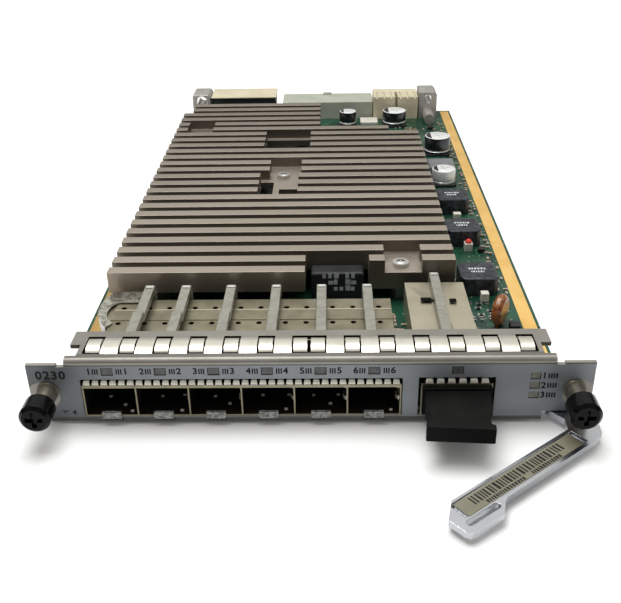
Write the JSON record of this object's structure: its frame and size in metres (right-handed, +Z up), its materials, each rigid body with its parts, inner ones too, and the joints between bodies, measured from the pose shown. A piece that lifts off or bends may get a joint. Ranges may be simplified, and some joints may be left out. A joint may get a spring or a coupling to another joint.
{
  "type": "baseband processing unit",
  "caption": "Plug-in processing board with a folded front panel, small and wide ports, light pipes, finned heatsink, captive thumbscrews, swinging ejector lever and rear connectors.",
  "frame": {"origin": "middle of the front panel face's bottom edge, where the board enters its rack slot", "axes": "+X right along the panel seen from the front, +Y back along the board, +Z up"},
  "size_m": [0.1522, 0.3341, 0.0216],
  "materials": {
    "panel_steel": "pale blue-grey satin coat on folded sheet steel",
    "gasket_metal": "bright plated spring metal",
    "cage_tin": "warm grey tin plate",
    "light_pipe_grey": "milky grey moulded plastic",
    "black_plastic": "black moulded plastic",
    "board_green": "dark green solder mask on glass laminate",
    "gold_plate": "thin gold plate",
    "sink_brown": "brown-grey anodised aluminium",
    "screw_steel": "bright nickel-plated steel",
    "chip_black": "black moulded package",
    "pad_grey": "soft grey thermal pad",
    "die_cast": "dull zinc die casting",
    "lever_zinc": "polished zinc die casting",
    "label_paper": "khaki printed label",
    "connector_beige": "beige moulded plastic",
    "connector_pale": "pale green-grey moulded plastic",
    "can_aluminium": "bare aluminium can",
    "module_grey": "grey coated lid",
    "varistor_brown": "brown dipped resin",
    "bulb_red": "red clear resin",
    "small_pale": "pale ceramic and tin"
  },
  "bodies": {
    "board": {"backplane_connector_left": "chip_black", "backplane_connector_middle": "connector_pale", "board_screws": "screw_steel", "cage_end_shield": "gasket_metal", "capacitor_bases": "chip_black", "capacitor_cans": "can_aluminium", "circuit_board": "board_green", "connector_cover": "connector_beige", "converter_module": "module_grey", "disc_varistor": "varistor_brown", "edge_strips": "gold_plate", "ferrule_left": "screw_steel", "ferrule_right": "screw_steel", "front_inductor": "chip_black", "front_panel": "panel_steel", "gasket_left": "gasket_metal", "gasket_right": "gasket_metal", "guide_bracket_left": "die_cast", "guide_bracket_right": "die_cast", "heatsink": "sink_brown", "heatsink_screws": "screw_steel", "heatsink_standoffs": "die_cast", "indicator_bulb": "bulb_red", "large_chips": "chip_black", "lever_bracket": "cage_tin", "lever_pin": "screw_steel", "light_pipe_1": "light_pipe_grey", "light_pipe_2": "light_pipe_grey", "light_pipe_3": "light_pipe_grey", "light_pipe_4": "light_pipe_grey", "light_pipe_5": "light_pipe_grey", "light_pipe_6": "light_pipe_grey", "light_pipe_7": "light_pipe_grey", "memory_chips": "chip_black", "panel_angle": "cage_tin", "port_cage": "cage_tin", "port_connectors": "black_plastic", "port_lamps": "small_pale", "port_spring_fingers": "gasket_metal", "power_connector": "connector_beige", "power_inductors": "chip_black", "small_dark_parts": "chip_black", "small_pale_parts": "small_pale", "status_light_pipe": "light_pipe_grey", "thermal_pads": "pad_grey", "wide_port_cage": "cage_tin", "wide_port_connector": "black_plastic", "wide_port_spring_fingers": "gasket_metal"},
    "lever": {"ejector_lever": "lever_zinc", "lever_label": "label_paper"},
    "plug": {"dust_plug": "black_plastic"},
    "washer_left": {"thrust_washer_left": "screw_steel", "spring_left": "screw_steel"},
    "washer_right": {"thrust_washer_right": "screw_steel", "spring_right": "screw_steel"},
    "screw_left": {"thumb_knob_left": "black_plastic", "thumb_screw_left": "screw_steel"},
    "screw_right": {"thumb_knob_right": "black_plastic", "thumb_screw_right": "screw_steel"}
  },
  "joints": [
    {"name": "lever_swing", "type": "hinge", "parent": "board", "child": "lever", "pos_m": [0.07, 0.0046, 0.0017], "axis": [0, 0, 1], "range_deg": [-39, 0]},
    {"name": "plug_pull", "type": "slide", "parent": "board", "child": "plug", "axis": [0, -1, 0], "range_m": [0, 0.018]},
    {"name": "screw_left_push", "type": "slide", "parent": "board", "child": "washer_left", "axis": [0, 1, 0], "range_m": [0, 0.0017], "stiffness_N_per_m": 200, "springref_m": -0.002, "deforming": ["spring_left"]},
    {"name": "screw_left_turn", "type": "hinge", "parent": "washer_left", "child": "screw_left", "pos_m": [-0.0706, -0.01, 0.01], "axis": [0, 1, 0], "continuous": true},
    {"name": "screw_right_push", "type": "slide", "parent": "board", "child": "washer_right", "axis": [0, 1, 0], "range_m": [0, 0.0017], "stiffness_N_per_m": 200, "springref_m": -0.002, "deforming": ["spring_right"]},
    {"name": "screw_right_turn", "type": "hinge", "parent": "washer_right", "child": "screw_right", "pos_m": [0.0706, -0.01, 0.01], "axis": [0, 1, 0], "continuous": true}
  ]
}
